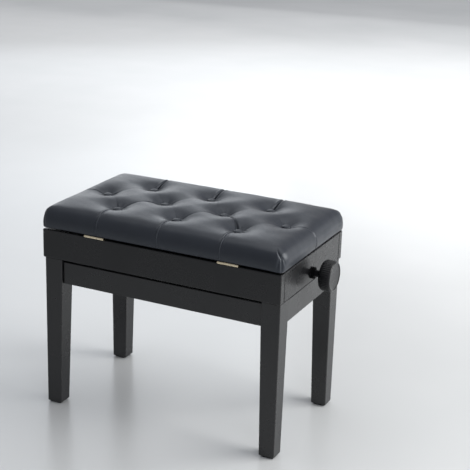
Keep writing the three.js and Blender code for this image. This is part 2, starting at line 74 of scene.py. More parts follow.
def add_mesh(name, points, faces, material, smooth=True):
    """A new mesh object from points and faces, with one material."""
    mesh = bpy.data.meshes.new(name)
    mesh.from_pydata([tuple(p) for p in points], [], faces)
    mesh.validate()
    mesh.update()
    obj = bpy.data.objects.new(name, mesh)
    bpy.context.scene.collection.objects.link(obj)
    mesh.materials.append(material)
    if smooth:
        mesh.polygons.foreach_set("use_smooth", [True] * len(mesh.polygons))
    return obj


def coordinates(mesh):
    points = np.empty(len(mesh.vertices) * 3)
    mesh.vertices.foreach_get("co", points)
    return points.reshape(-1, 3)


def set_coordinates(mesh, points):
    mesh.vertices.foreach_set("co", np.asarray(points, float).ravel())
    mesh.update()


def normals(mesh):
    out = np.empty(len(mesh.vertices) * 3)
    mesh.vertex_normals.foreach_get("vector", out)
    return out.reshape(-1, 3)


def evaluated_mesh(obj):
    """The object's mesh with its modifiers applied, as a new mesh."""
    graph = bpy.context.evaluated_depsgraph_get()
    return bpy.data.meshes.new_from_object(obj.evaluated_get(graph), depsgraph=graph)


def apply_modifiers(obj):
    mesh = evaluated_mesh(obj)
    obj.modifiers.clear()
    obj.data = mesh


def subdivide(obj, levels):
    modifier = obj.modifiers.new("Subdivision", "SUBSURF")
    modifier.levels = levels
    modifier.render_levels = levels
    modifier.boundary_smooth = "PRESERVE_CORNERS"
    apply_modifiers(obj)


def turned(name, profile, sides, material, axis="z", at=(0, 0, 0), radius_at=None):
    """A body of revolution from (radius, height) points; radius_at may vary a radius with the angle."""
    points, faces = [], []
    for ring, (radius, height) in enumerate(profile):
        for i in range(sides):
            angle = 2 * math.pi * i / sides
            r = radius_at(ring, radius, angle) if radius_at else radius
            points.append((r * math.cos(angle), r * math.sin(angle), height))
    for ring in range(len(profile) - 1):
        for i in range(sides):
            j = (i + 1) % sides
            a, b = ring * sides, (ring + 1) * sides
            faces.append((a + i, a + j, b + j, b + i))
    faces.append(tuple(reversed(range(sides))))
    last = (len(profile) - 1) * sides
    faces.append(tuple(range(last, last + sides)))
    turn = {
        "z": Matrix.Identity(3),
        "x": Matrix.Rotation(math.pi / 2, 3, "Y"),
        "-x": Matrix.Rotation(-math.pi / 2, 3, "Y"),
        "-z": Matrix.Rotation(math.pi, 3, "X"),
    }[axis]
    points = [turn @ Vector(p) + Vector(at) for p in points]
    return add_mesh(name, points, faces, material)


# ---- Materials ------------------------------------------------------------------------------------

class Shader:
    """A node material with one Principled shader, built up by small steps."""

    def __init__(self, name, **constants):
        self.material = bpy.data.materials.new(name)
        self.material.use_nodes = True
        self.tree = self.material.node_tree
        self.tree.nodes.clear()
        output = self.node("ShaderNodeOutputMaterial")
        self.surface = self.node("ShaderNodeBsdfPrincipled")
        self.link(self.surface.outputs["BSDF"], output.inputs["Surface"])
        self.position = self.node("ShaderNodeTexCoord").outputs["Object"]
        self.normal = None
        for socket, value in constants.items():
            self.surface.inputs[socket.replace("_", " ")].default_value = value

    def node(self, kind, **settings):
        made = self.tree.nodes.new(kind)
        for key, value in settings.items():
            setattr(made, key, value)
        return made

    def link(self, output, socket):
        self.tree.links.new(output, socket)

    def stretched(self, scale):
        mapping = self.node("ShaderNodeMapping")
        mapping.inputs["Scale"].default_value = scale
        self.link(self.position, mapping.inputs["Vector"])
        return mapping.outputs["Vector"]

    def noise(self, scale, detail=3, roughness=0.5, distortion=0, stretch=(1, 1, 1)):
        """Noise in the object's own space, drawn out along an axis where stretch is below 1."""
        made = self.node("ShaderNodeTexNoise")
        made.inputs["Scale"].default_value = scale
        made.inputs["Detail"].default_value = detail
        made.inputs["Roughness"].default_value = roughness
        made.inputs["Distortion"].default_value = distortion
        self.link(self.stretched(stretch), made.inputs["Vector"])
        return made.outputs["Fac"]

    def cells(self, scale):
        """Distance to the nearest cell centre, smoothed."""
        made = self.node("ShaderNodeTexVoronoi", feature="SMOOTH_F1")
        made.inputs["Scale"].default_value = scale
        self.link(self.stretched((1, 1, 1)), made.inputs["Vector"])
        return made.outputs["Distance"]

    def ranged(self, value, low, high, from_low=0.3, from_high=0.7):
        """Maps from_low..from_high to low..high, clamped."""
        made = self.node("ShaderNodeMapRange")
        made.inputs["From Min"].default_value = from_low
        made.inputs["From Max"].default_value = from_high
        made.inputs["To Min"].default_value = low
        made.inputs["To Max"].default_value = high
        self.link(value, made.inputs["Value"])
        return made.outputs["Result"]

    def maths(self, operation, a, b):
        made = self.node("ShaderNodeMath", operation=operation)
        for socket, value in zip(made.inputs, (a, b)):
            if isinstance(value, (int, float)):
                socket.default_value = value
            else:
                self.link(value, socket)
        return made.outputs["Value"]

    def mixed(self, factor, first, second):
        made = self.node("ShaderNodeMix", data_type="RGBA")
        self.link(factor, made.inputs["Factor"])
        for socket, colour in ((made.inputs[6], first), (made.inputs[7], second)):
            if isinstance(colour, tuple):
                socket.default_value = (*colour, 1)
            else:
                self.link(colour, socket)
        return made.outputs[2]

    def colour(self, value):
        self.link(value, self.surface.inputs["Base Color"])

    def roughness(self, value):
        self.link(value, self.surface.inputs["Roughness"])

    def bump(self, height, distance, strength):
        """Adds a bump on top of the earlier ones."""
        made = self.node("ShaderNodeBump")
        made.inputs["Strength"].default_value = strength
        made.inputs["Distance"].default_value = distance
        self.link(height, made.inputs["Height"])
        if self.normal is not None:
            self.link(self.normal, made.inputs["Normal"])
        self.normal = made.outputs["Normal"]
        self.link(self.normal, self.surface.inputs["Normal"])

    def worn_edges(self, radius=0.0012):
        """A mask that is 1 on convex edges and 0 on flat faces."""
        rounded = self.node("ShaderNodeBevel", samples=4)
        rounded.inputs["Radius"].default_value = radius
        geometry = self.node("ShaderNodeNewGeometry")
        dot = self.node("ShaderNodeVectorMath", operation="DOT_PRODUCT")
        self.link(rounded.outputs["Normal"], dot.inputs[0])
        self.link(geometry.outputs["Normal"], dot.inputs[1])
        return self.ranged(dot.outputs["Value"], 1, 0, 0.75, 1.0)

    def facing_down(self):
        """A mask that is 1 on faces that look down."""
        geometry = self.node("ShaderNodeNewGeometry")
        split = self.node("ShaderNodeSeparateXYZ")
        self.link(geometry.outputs["Normal"], split.inputs["Vector"])
        return self.ranged(split.outputs["Z"], 1, 0, -0.9, -0.6)


# Stretch of the noise for a grain that runs along each axis.
GRAIN_STRETCH = {"x": (0.06, 1, 1), "y": (1, 0.06, 1), "z": (1, 1, 0.06)}
LACQUER_BLACK = (0.0085, 0.0088, 0.0098)
LACQUER_BLACK_PALER = (0.0125, 0.0128, 0.0138)
LACQUER_RUBBED = (0.045, 0.045, 0.048)
BIRCH_DARK = (0.50, 0.34, 0.19)
BIRCH_LIGHT = (0.66, 0.49, 0.30)
BIRCH_PORES = (0.30, 0.19, 0.10)
# Painted shade: the near-black colour of the storage floor's underside.
UNDERSIDE_PAINTED_SHADE = (0.010, 0.010, 0.011)
LEATHERETTE_DARK = (0.0145, 0.0172, 0.0240)
LEATHERETTE_LIGHT = (0.0200, 0.0235, 0.0320)
LEATHERETTE_GLOSS_TINT = (0.90, 0.95, 1.0, 1)
PLASTIC_RUBBED = (0.06, 0.06, 0.064)
POWDER_BLACK = (0.012, 0.012, 0.013)
POWDER_BLACK_PALER = (0.019, 0.019, 0.02)
BARE_STEEL = (0.32, 0.32, 0.33)
TARNISH = (0.75, 0.72, 0.68)


def black_lacquer(name, grain, specular):
    """Satin black paint on wood: faint open grain, slight orange peel, edges rubbed a little paler."""
    s = Shader(f"black_lacquer_{name}", Specular_IOR_Level=specular)
    stretch = GRAIN_STRETCH[grain]
    clouds = s.noise(9, 4)
    base = s.mixed(s.ranged(clouds, 0, 1), LACQUER_BLACK, LACQUER_BLACK_PALER)
    wear = s.maths("MULTIPLY", s.worn_edges(), s.ranged(s.noise(55, 4), 0.1, 0.6))
    s.colour(s.mixed(wear, base, LACQUER_RUBBED))
    s.roughness(s.maths("ADD", s.ranged(clouds, 0.23, 0.30), s.ranged(s.noise(150, 2), -0.01, 0.01)))
    s.bump(s.noise(420, 2, stretch=stretch), 0.00004, 0.08)
    s.bump(s.noise(90, 2), 0.00006, 0.03)
    return s.material


def plywood(grain):
    """Birch plywood with a long pale figure and fine pores, and an underside painted black as shade, which
    keeps the gap under the box dark.
    """
    s = Shader(f"birch_plywood_{grain}", Specular_IOR_Level=0.35)
    stretch = GRAIN_STRETCH[grain]
    figure = s.noise(28, 5, 0.6, 0.8, stretch)
    pores = s.noise(600, 2, stretch=stretch)
    base = s.mixed(s.ranged(figure, 0, 1), BIRCH_DARK, BIRCH_LIGHT)
    wood = s.mixed(s.ranged(pores, 0.25, 0, 0.25, 0.5), base, BIRCH_PORES)
    # Painted shade: faces that look down are coloured near black, so the gap under the box stays dark.
    s.colour(s.mixed(s.facing_down(), wood, UNDERSIDE_PAINTED_SHADE))
    s.roughness(s.ranged(figure, 0.55, 0.7))
    s.bump(pores, 0.0002, 0.4)
    return s.material


def leatherette():
    """Black coated fabric: fine pebble grain, soft sheen that varies with handling."""
    s = Shader("black_leatherette", Specular_IOR_Level=0.52, Specular_Tint=LEATHERETTE_GLOSS_TINT)
    clouds = s.noise(11, 4, 0.55)
    s.colour(s.mixed(s.ranged(clouds, 0, 1), LEATHERETTE_DARK, LEATHERETTE_LIGHT))
    s.roughness(s.maths("ADD", s.ranged(clouds, 0.35, 0.43), s.ranged(s.noise(240, 2), -0.03, 0.03)))
    s.bump(s.noise(60, 3), 0.0004, 0.12)
    s.bump(s.cells(1150), 0.00022, 0.35)
    s.bump(s.noise(2400, 2), 0.00008, 0.25)
    return s.material


def moulded_plastic(name, colour, roughness, texture, specular):
    """Moulded plastic with a fine eroded texture and faint scuffs."""
    s = Shader(name, Specular_IOR_Level=specular)
    clouds = s.noise(30, 3)
    paler = tuple(c * 1.5 + 0.002 for c in colour)
    wear = s.maths("MULTIPLY", s.worn_edges(0.0008), s.ranged(s.noise(160, 3), 0, 0.7))
    s.colour(s.mixed(wear, s.mixed(s.ranged(clouds, 0, 1), colour, paler), PLASTIC_RUBBED))
    s.roughness(s.ranged(clouds, roughness - 0.04, roughness + 0.05))
    s.bump(s.noise(texture, 2), 0.00008, 0.3)
    return s.material


def metal(name, colour, roughness, brushed):
    """Bare or plated metal with drawn lines and slight tarnish."""
    s = Shader(name, Metallic=1.0)
    clouds = s.noise(45, 4, 0.6)
    lines = s.noise(900, 2, stretch=brushed)
    dirty = tuple(c * t for c, t in zip(colour, TARNISH))
    s.colour(s.mixed(s.ranged(clouds, 0, 0.6, 0.45, 0.75), colour, dirty))
    s.roughness(s.maths("ADD", s.ranged(clouds, roughness - 0.04, roughness + 0.06),
                        s.ranged(lines, -0.05, 0.05)))
    s.bump(lines, 0.00006, 0.3)
    return s.material


def powder_coat():
    """Black powder coat: fine pimples, and edges chipped to the steel here and there."""
    s = Shader("black_powder_coat", Specular_IOR_Level=0.5)
    clouds = s.noise(40, 3)
    chips = s.maths("MULTIPLY", s.worn_edges(0.0008), s.ranged(s.noise(300, 3), 0, 1, 0.5, 0.65))
    coat = s.mixed(s.ranged(clouds, 0, 1), POWDER_BLACK, POWDER_BLACK_PALER)
    s.colour(s.mixed(chips, coat, BARE_STEEL))
    s.roughness(s.ranged(clouds, 0.38, 0.48))
    s.bump(s.noise(700, 2), 0.00015, 0.35)
    return s.material


# These lacquer copies differ only in how much they reflect: the box's copies reflect less as painted shade,
# and the end aprons' copy reflects more as painted light.
LEG_LACQUER = black_lacquer("legs", "z", 0.56)
APRON_LACQUER = {"x": black_lacquer("apron_x", "x", 0.56), "y": black_lacquer("apron_y_lit", "y", 0.62)}
SHADED_BOX_LACQUER = {"x": black_lacquer("box_x_shaded", "x", 0.44), "y": black_lacquer("box_y_shaded", "y", 0.40)}
LEATHERETTE = leatherette()
KNOB_PLASTIC = moulded_plastic("black_knob_plastic", (0.004, 0.0043, 0.0052), 0.28, 1500, 0.34)
PAD_PLASTIC = moulded_plastic("black_pad_plastic", (0.0025, 0.0025, 0.003), 0.75, 700, 0.04)
BRASS = metal("pale_brass", (0.92, 0.80, 0.58), 0.24, (0.1, 1, 1))
ZINC = metal("zinc_plated_steel", (0.62, 0.63, 0.65), 0.32, (0.08, 1, 1))
BLACKENED_STEEL = metal("blackened_steel", (0.030, 0.030, 0.033), 0.34, (0.08, 1, 1))
POWDER_COAT = powder_coat()
FLOOR_PLYWOOD = plywood("x")


def finish_for(node):
    """The material of a CAD node that stays in view."""
    if node.startswith("leg_bolt"):
        return ZINC
    if node == "drive_screw":
        return BLACKENED_STEEL
    if node.startswith("leg_"):
        return LEG_LACQUER
    if node.startswith("apron_"):
        return APRON_LACQUER["y" if node in ("apron_left", "apron_right") else "x"]
    if node in ("box_left", "box_right"):
        return SHADED_BOX_LACQUER["y"]
    if node in ("box_front", "box_rear"):
        return SHADED_BOX_LACQUER["x"]
    if node.startswith(("foot_pad", "screw_bushing")):
        return PAD_PLASTIC
    if node.startswith("corner_block"):
        return LEG_LACQUER
    if node == "box_floor":
        return FLOOR_PLYWOOD
    if node == "lid_board":
        return SHADED_BOX_LACQUER["x"]
    if node.startswith("hinge_"):
        return BRASS
    if node.startswith(("base_rail", "top_bracket")):
        return POWDER_COAT
    if node.startswith("knob"):
        return KNOB_PLASTIC
    if node.startswith("cushion"):
        return LEATHERETTE
    return ZINC


for name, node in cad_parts.items():
    node.data.materials.clear()
    node.data.materials.append(finish_for(name))


# ---- Cushion --------------------------------------------------------------------------------------

CUSHION_LOW, CUSHION_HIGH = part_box("cushion")
BUTTON_NODES = sorted(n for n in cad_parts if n.startswith("cushion_button"))
BUTTONS = [centre_of(n) for n in BUTTON_NODES]
ROW_Y = max(b.y for b in BUTTONS)
PITCH = 2 * min(abs(b.x) for b in BUTTONS if abs(b.x) > 1 * MM and abs(b.y) < 1 * MM)
OUTER_X = max(b.x for b in BUTTONS)

BUTTON_RADIUS = (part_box(BUTTON_NODES[0])[1].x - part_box(BUTTON_NODES[0])[0].x) / 2
BUTTON_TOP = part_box(BUTTON_NODES[0])[1].z

STEP_X = 7.2 * MM              # spacing of the sheet's grid along the bench, and down its sides
STEP_Y = 7.0 * MM
EDGE_RADIUS = 26 * MM
CORNER_SHARPENING = 0.45       # share of the edge radius that an upright corner has lost at the bottom
SHEET_SLACK = 0.8 * MM         # the sheet starts this far inside the CAD solid's outline
SHEET_LOWERING = 6.5 * MM      # and this far below its top, which the crown then makes up
BOTTOM_TUCK = 3 * MM           # how far the bottom edge is drawn in under the sides
BOTTOM_ROUNDING = 10 * MM      # height over which it is drawn in
CORNER_DROOP = 3.4 * MM        # how far the bottom edge hangs down at the four corners
BUTTON_SEAT_Z = BUTTON_TOP - 5.5 * MM      # height of the sheet under a button
TUFT_REACH = 20 * MM           # how far the pull of a button reaches
CROWN = 7 * MM                 # how far the middle of the top stands above its border
RIM_LIFT = 0.3 * MM            # the open edge starts this far above the CAD solid's bottom


def grid_lines(half, step, dense_at=()):
    """Even lines from -half to half, with four more beside each dense place."""
    count = round(half / step)
    lines = {round(i * step, 6) for i in range(-count + 1, count)} | {-half, half}
    for place in dense_at:
        lines |= {round(place + offset, 6) for offset in (-3.4 * MM, -1.4 * MM, 1.4 * MM, 3.4 * MM)}
    return sorted(lines)


def boxed_sheet(half_x, half_y, low_z, high_z):
    """Points and quads of an open-bottomed box, and its bottom edge: a top grid with hanging sides."""
    xs = grid_lines(half_x, STEP_X, (-PITCH, 0, PITCH))
    ys = grid_lines(half_y, STEP_Y, (0,))
    nx, ny = len(xs), len(ys)
    points = [(x, y, high_z) for x in xs for y in ys]
    faces = []
    for i in range(nx - 1):
        for j in range(ny - 1):
            a = i * ny + j
            faces.append((a, a + ny, a + ny + 1, a + 1))
    border = [i * ny for i in range(nx)]
    border += [(nx - 1) * ny + j for j in range(1, ny)]
    border += [i * ny + ny - 1 for i in range(nx - 2, -1, -1)]
    border += [j for j in range(ny - 2, 0, -1)]
    levels = round((high_z - low_z) / STEP_X)
    row = border
    for level in range(1, levels + 1):
        z = high_z + (low_z - high_z) * level / levels
        start = len(points)
        points += [(points[k][0], points[k][1], z) for k in border]
        below = list(range(start, start + len(border)))
        for k in range(len(border)):
            m = (k + 1) % len(border)
            faces.append((row[m], row[k], below[k], below[m]))
        row = below
    return np.array(points), faces, row


def round_off(points, half_x, half_y, low_z, high_z, radius):
    """Rounds the top edges by one radius, and the upright corners less and less towards the bottom."""
    core_z = high_z - radius
    upright = radius * (1 - CORNER_SHARPENING * smoothstep(core_z, low_z, points[:, 2]))
    core_x = half_x - upright
    core_y = half_y - upright
    over = np.stack([
        np.maximum(np.abs(points[:, 0]) - core_x, 0),
        np.maximum(np.abs(points[:, 1]) - core_y, 0),
        np.maximum(points[:, 2] - core_z, 0),
    ], 1)
    length = np.linalg.norm(over, axis=1)
    reach = over.max(1)
    scale = np.where(length > 0, reach / np.maximum(length, 1e-9), 0)
    signs = np.sign(points) * [1, 1, 0] + [0, 0, 1]
    inner = np.stack([
        np.clip(points[:, 0], -core_x, core_x),
        np.clip(points[:, 1], -core_y, core_y),
        np.minimum(points[:, 2], core_z),
    ], 1)
    return inner + over * scale[:, None] * signs


def draw_in(points, low_z):
    """Rounds the bottom edge inwards, where the leatherette is pulled under the lid board."""
    t = np.clip((points[:, 2] - low_z) / BOTTOM_ROUNDING, 0, 1)
    inset = BOTTOM_TUCK * (1 - np.sqrt(1 - (1 - t) ** 2))
    points[:, 0] -= inset * np.clip(points[:, 0] / (CUSHION_HIGH.x - 8 * MM), -1, 1) ** 9
    points[:, 1] -= inset * np.clip(points[:, 1] / (CUSHION_HIGH.y - 8 * MM), -1, 1) ** 9


def droop(points):
    """Lets the bottom edge hang lower at the corners."""
    corner = np.abs(points[:, 0] / CUSHION_HIGH.x) ** 14 * np.abs(points[:, 1] / CUSHION_HIGH.y) ** 9
    low = smoothstep(CUSHION_LOW.z + 24 * MM, CUSHION_LOW.z, points[:, 2])
    points[:, 2] -= CORNER_DROOP * corner * low


def button_distance(points):
    """Level distance from each point to the nearest button."""
    away = [np.hypot(points[:, 0] - b.x, points[:, 1] - b.y) for b in BUTTONS]
    return np.min(away, axis=0)


def tuft(points, top_z):
    """Pulls the sheet down to the buttons and crowns it between them."""
    out = points.copy()
    half = np.array([CUSHION_HIGH.x, CUSHION_HIGH.y])
    u = points[:, :2] / half
    share = smoothstep(top_z - 18 * MM, top_z - 2 * MM, points[:, 2])
    crown = CROWN * (1 - u[:, 0] ** 4) * (1 - u[:, 1] ** 4)
    depth = top_z + crown - BUTTON_SEAT_Z
    r = np.maximum(button_distance(points) - BUTTON_RADIUS, 0)
    pull = depth * np.exp(-(r / TUFT_REACH) ** 1.15)
    out[:, 2] += share * (crown - pull)
    return out


def simulate_cloth(obj, pinned, frames=20, cap=5 * MM):
    """Inflates the sheet as pressurised cloth, held at its pins, and keeps the result on the mesh."""
    group = obj.vertex_groups.new(name="pin")
    group.add([int(i) for i in pinned], 1.0, "REPLACE")
    modifier = obj.modifiers.new("Cloth", "CLOTH")
    settings = modifier.settings
    settings.quality = 7
    settings.mass = 0.3
    settings.tension_stiffness = 40
    settings.compression_stiffness = 40
    settings.shear_stiffness = 20
    settings.bending_stiffness = 8
    settings.tension_damping = 12
    settings.compression_damping = 12
    settings.shear_damping = 10
    settings.vertex_group_mass = "pin"
    settings.use_pressure = True
    settings.uniform_pressure_force = 3.5
    settings.shrink_min = 0
    settings.effector_weights.gravity = 0
    modifier.collision_settings.use_collision = False
    modifier.collision_settings.use_self_collision = False
    modifier.point_cache.frame_start = 1
    modifier.point_cache.frame_end = frames
    scene = bpy.context.scene
    for step in range(1, frames + 1):
        scene.frame_set(step)
    before = coordinates(obj.data)
    mesh = evaluated_mesh(obj)
    moved = coordinates(mesh) - before
    length = np.linalg.norm(moved, axis=1, keepdims=True)
    moved *= np.minimum(1, cap / np.maximum(length, 1e-9))
    obj.modifiers.clear()
    obj.vertex_groups.clear()
    scene.frame_set(1)
    bpy.data.meshes.remove(mesh)
    set_coordinates(obj.data, before + moved)


def settle(obj, keep, passes=2):
    """Evens out the mesh a little, apart from the points to keep."""
    mesh = obj.data
    edges = np.empty(len(mesh.edges) * 2, int)
    mesh.edges.foreach_get("vertices", edges)
    edges = edges.reshape(-1, 2)
    points = coordinates(mesh)
    free = np.ones(len(points), bool)
    free[list(keep)] = False
    for _ in range(passes):
        total = np.zeros_like(points)
        count = np.zeros(len(points))
        for a, b in ((0, 1), (1, 0)):
            np.add.at(total, edges[:, a], points[edges[:, b]])
            np.add.at(count, edges[:, a], 1)
        mean = total / count[:, None]
        points[free] += 0.4 * (mean[free] - points[free])
    set_coordinates(mesh, points)


def welt_profile(across):
    """A pressed pleat seen across: a raised welt between two grooves, and a fainter groove beside it."""
    left_groove = np.exp(-((across + 2.3 * MM) / (1.2 * MM)) ** 2)
    right_groove = np.exp(-((across - 2.5 * MM) / (1.3 * MM)) ** 2)
    faint_groove = 0.35 * np.exp(-((across - 7.0 * MM) / (1.5 * MM)) ** 2)
    welt = 0.7 * np.exp(-(across / (1.3 * MM)) ** 2)
    return 0.7 * (left_groove + right_groove) + faint_groove - welt


def crease_profile(across, width):
    """A sharp crease: a steep wall on one side, a soft slope on the other and a low roll beside it."""
    steep = np.exp(-np.abs(across) / width)
    soft = np.exp(-np.abs(across) / (2.6 * width))
    valley = np.where(across > 0, steep, soft)
    return valley - 0.35 * np.exp(-((across - 3.2 * width) / (1.8 * width)) ** 2)


def groove_profile(across, width=1.7 * MM):
    """A narrow, deep groove with a low roll on each side."""
    rolls = np.exp(-((np.abs(across) - 2.6 * width) / width) ** 2)
    return np.exp(-(across / width) ** 2) - 0.12 * rolls


def border_pleats(points):
    """Depth of the pleats from the outer buttons over the edge: welts in front, grooves elsewhere."""
    x, y, z = points.T
    depth = np.zeros(len(points))
    low_side = smoothstep(CUSHION_HIGH.z - 26 * MM, CUSHION_HIGH.z - 40 * MM, z)
    for place in (-PITCH, 0, PITCH):
        outward = np.maximum(np.abs(y) - ROW_Y, 0)
        on = smoothstep(BUTTON_RADIUS, BUTTON_RADIUS + 6 * MM, outward)
        spread = np.exp(-outward / (24 * MM))
        front = np.where(y < 0, 1, 0)
        bow = np.sin(math.pi * np.clip(outward / (70 * MM), 0, 1))
        across = x - place + bow * np.where(y < 0, 3.0 * MM, -1.2 * MM)
        welt = (1.0 * MM + 0.6 * MM * spread) * welt_profile(across)
        groove = (4.6 * MM + 2.0 * MM * spread) * (1 - 0.6 * low_side) * groove_profile(across, 2.1 * MM)
        depth += on * (front * welt + (1 - front) * groove)
    for side in (-1, 1):
        outward = np.maximum(side * x - OUTER_X, 0)
        on = smoothstep(BUTTON_RADIUS, BUTTON_RADIUS + 6 * MM, outward)
        bend = -5 * MM * smoothstep(20 * MM, 66 * MM, outward) * smoothstep(CUSHION_LOW.z, CUSHION_HIGH.z, z)
        size = 0.9 * MM + 1.3 * MM * np.exp(-outward / (18 * MM)) + 0.4 * MM * low_side
        depth += on * size * groove_profile(y - bend, 1.5 * MM)
    return depth


# How strongly the leatherette folds between neighbouring buttons, by the numbers of the two buttons.
FOLDS = {
    (1, 4): 1.0, (1, 5): 1.5, (2, 5): 0.7, (2, 6): 1.1, (3, 6): 3.2, (3, 7): 0.6,
    (8, 4): 0.7, (8, 5): 0.8, (9, 5): 0.7, (9, 6): 0.9, (10, 6): 0.6, (10, 7): 0.8,
}


def diagonal_folds(points):
    """Depth of the folds between neighbouring buttons, soft midway and sharper close to each button."""
    x, y = points[:, 0], points[:, 1]
    depth = np.zeros(len(points))
    for (first, second), strength in FOLDS.items():
        a, b = BUTTONS[first - 1], BUTTONS[second - 1]
        along = Vector((b.x - a.x, b.y - a.y))
        length = along.length
        along.normalize()
        t = (x - a.x) * along.x + (y - a.y) * along.y
        bow = 5 * MM * np.sin(math.pi * np.clip(t / length, 0, 1)) * math.copysign(1, a.y * (b.x - a.x))
        across = -(x - a.x) * along.y + (y - a.y) * along.x + bow
        near = np.maximum(np.minimum(t, length - t), 0)
        inside = smoothstep(BUTTON_RADIUS, BUTTON_RADIUS + 5 * MM, near)
        soft = (0.25 * MM + 0.8 * MM * np.exp(-near / (22 * MM))) * np.exp(-(across / (7 * MM)) ** 2)
        fade = np.exp(-np.maximum(near - 14 * MM, 0) / (14 * MM * strength))
        sharp = 1.7 * MM * fade * groove_profile(across)
        depth += inside * strength * (soft + sharp)
    return depth * on_top(points)


def on_top(points):
    """1 on the tufted top, fading to 0 down the sides."""
    return smoothstep(BUTTON_SEAT_Z - 6 * MM, BUTTON_SEAT_Z - 1 * MM, points[:, 2])


def button_wrinkles(points):
    """Depth of the short wrinkles that fan out from each button."""
    depth = np.zeros(len(points))
    for i, button in enumerate(BUTTONS):
        dx, dy = points[:, 0] - button.x, points[:, 1] - button.y
        r = np.hypot(dx, dy)
        angle = np.arctan2(dy, dx)
        wave = 0.5 * np.sin(5 * angle + 1.7 * i) + 0.4 * np.sin(9 * angle + 2.9 * i)
        wave += 0.3 * np.sin(14 * angle + i)
        fade = np.exp(-np.maximum(r - 12 * MM, 0) / (8 * MM))
        fade *= smoothstep(BUTTON_RADIUS, BUTTON_RADIUS + 3 * MM, r)
        depth += 0.5 * MM * wave * fade
    return depth * on_top(points)


# For each corner, by its signs along X and Y: how many degrees its gather leans at the top, and its depth.
CORNER_GATHERS = {
    (1, -1): (34, 2.3 * MM),
    (-1, -1): (20, 1.5 * MM),
    (1, 1): (-24, 1.6 * MM),
    (-1, 1): (18, 1.5 * MM),
}


def corner_tucks(points):
    """Depth of the gathered leatherette at the four upright corners."""
    x, y, z = points.T
    depth = np.zeros(len(points))
    middle = (CUSHION_LOW.z + CUSHION_HIGH.z) / 2
    height = (z - middle) / (CUSHION_HIGH.z - middle)
    fade = smoothstep(1.02, 0.62, height)
    for (side, face), (lean, size) in CORNER_GATHERS.items():
        qx = side * x - (CUSHION_HIGH.x - EDGE_RADIUS)
        qy = face * y - (CUSHION_HIGH.y - EDGE_RADIUS)
        corner = (qx > -8 * MM) & (qy > -8 * MM) & (qx + qy > 0)
        turn = np.degrees(np.arctan2(np.maximum(qy, 1e-6), np.maximum(qx, 1e-6)))
        for offset, share in ((0, 1.0), (-24, 0.3), (22, 0.35)):
            centre = 45 + offset * smoothstep(1, -1, height) + lean * np.clip(height, 0, 1)
            across = np.radians(turn - centre) * EDGE_RADIUS
            depth += np.where(corner, share * size * fade * crease_profile(across, 1.2 * MM), 0)
    return depth


def unevenness(points):
    """Slow waves of foam under the leatherette, fading at the bottom edge."""
    x, y = points[:, 0] / MM, points[:, 1] / MM
    wave = np.sin(x / 17 + 2.1 * np.sin(y / 23)) + np.sin(y / 13 + 1.7 * np.sin(x / 31 + 1))
    wave += 0.6 * np.sin((x + 1.7 * y) / 9.5) * np.sin((x - y) / 21)
    fade = smoothstep(CUSHION_LOW.z + 4 * MM, CUSHION_LOW.z + 16 * MM, points[:, 2])
    return 0.16 * MM * wave * fade


def close_underside(obj, rim):
    """Wraps the bottom edge under, around the lid board, and closes the hidden top of that recess."""
    mesh = obj.data
    points = [tuple(p) for p in coordinates(mesh)]
    faces = [tuple(p.vertices) for p in mesh.polygons]
    board_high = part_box("lid_board")[1]
    half_x = board_high.x + 0.5 * MM
    half_y = board_high.y + 0.5 * MM
    rows = [rim]
    for z in (CUSHION_LOW.z + RIM_LIFT, board_high.z + 0.6 * MM):
        start = len(points)
        for k in rim:
            x, y, _ = points[k]
            points.append((max(-half_x, min(half_x, x)), max(-half_y, min(half_y, y)), z))
        rows.append(list(range(start, start + len(rim))))
    for upper, lower in zip(rows, rows[1:]):
        for k in range(len(rim)):
            m = (k + 1) % len(rim)
            faces.append((upper[m], upper[k], lower[k], lower[m]))
    faces.append(tuple(rows[-1]))
    return points, faces


def boundary_loop(mesh):
    """The open edge of the mesh as an ordered list of vertices."""
    uses = {}
    for polygon in mesh.polygons:
        for key in polygon.edge_keys:
            uses[key] = uses.get(key, 0) + 1
    after = {}
    for polygon in mesh.polygons:
        corners = list(polygon.vertices)
        for a, b in zip(corners, corners[1:] + corners[:1]):
            if uses[(min(a, b), max(a, b))] == 1:
                after[b] = a
    start = next(iter(after))
    loop = [start]
    while after[loop[-1]] != start:
        loop.append(after[loop[-1]])
    return loop


def build_cushion():
    """The tufted cushion: a pressurised sheet, then its pleats, folds and gathered corners."""
    half_x = CUSHION_HIGH.x - SHEET_SLACK
    half_y = CUSHION_HIGH.y - SHEET_SLACK
    low_z = CUSHION_LOW.z + RIM_LIFT
    top_z = CUSHION_HIGH.z - SHEET_LOWERING
    points, faces, rim = boxed_sheet(half_x, half_y, low_z, top_z)
    points = round_off(points, half_x, half_y, low_z, top_z, EDGE_RADIUS)
    draw_in(points, low_z)
    droop(points)
    points = tuft(points, top_z)
    seat = add_mesh("tufted_cushion", points, faces, LEATHERETTE)
    pinned = set(np.nonzero(button_distance(points) < BUTTON_RADIUS + 0.5 * MM)[0])
    pinned &= set(np.nonzero(points[:, 2] > top_z - 20 * MM)[0])
    pinned |= set(np.nonzero(points[:, 2] < low_z + 5 * MM)[0])
    simulate_cloth(seat, pinned)
    settle(seat, rim)
    subdivide(seat, 2)
    points = coordinates(seat.data)
    depth = border_pleats(points) + diagonal_folds(points) + corner_tucks(points)
    depth += button_wrinkles(points) + unevenness(points)
    rim_fade = smoothstep(CUSHION_LOW.z, CUSHION_LOW.z + 3 * MM, points[:, 2])
    points = points - normals(seat.data) * (depth * rim_fade)[:, None]
    set_coordinates(seat.data, points)
    wrapped_points, wrapped_faces = close_underside(seat, boundary_loop(seat.data))
    bpy.data.objects.remove(seat)
    cushion = add_mesh("tufted_cushion", wrapped_points, wrapped_faces, LEATHERETTE)
    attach(cushion, "lid")
    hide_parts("cushion")


DOME_STEPS = 7
GATHERS = 9                    # gathers round the edge of a covered button


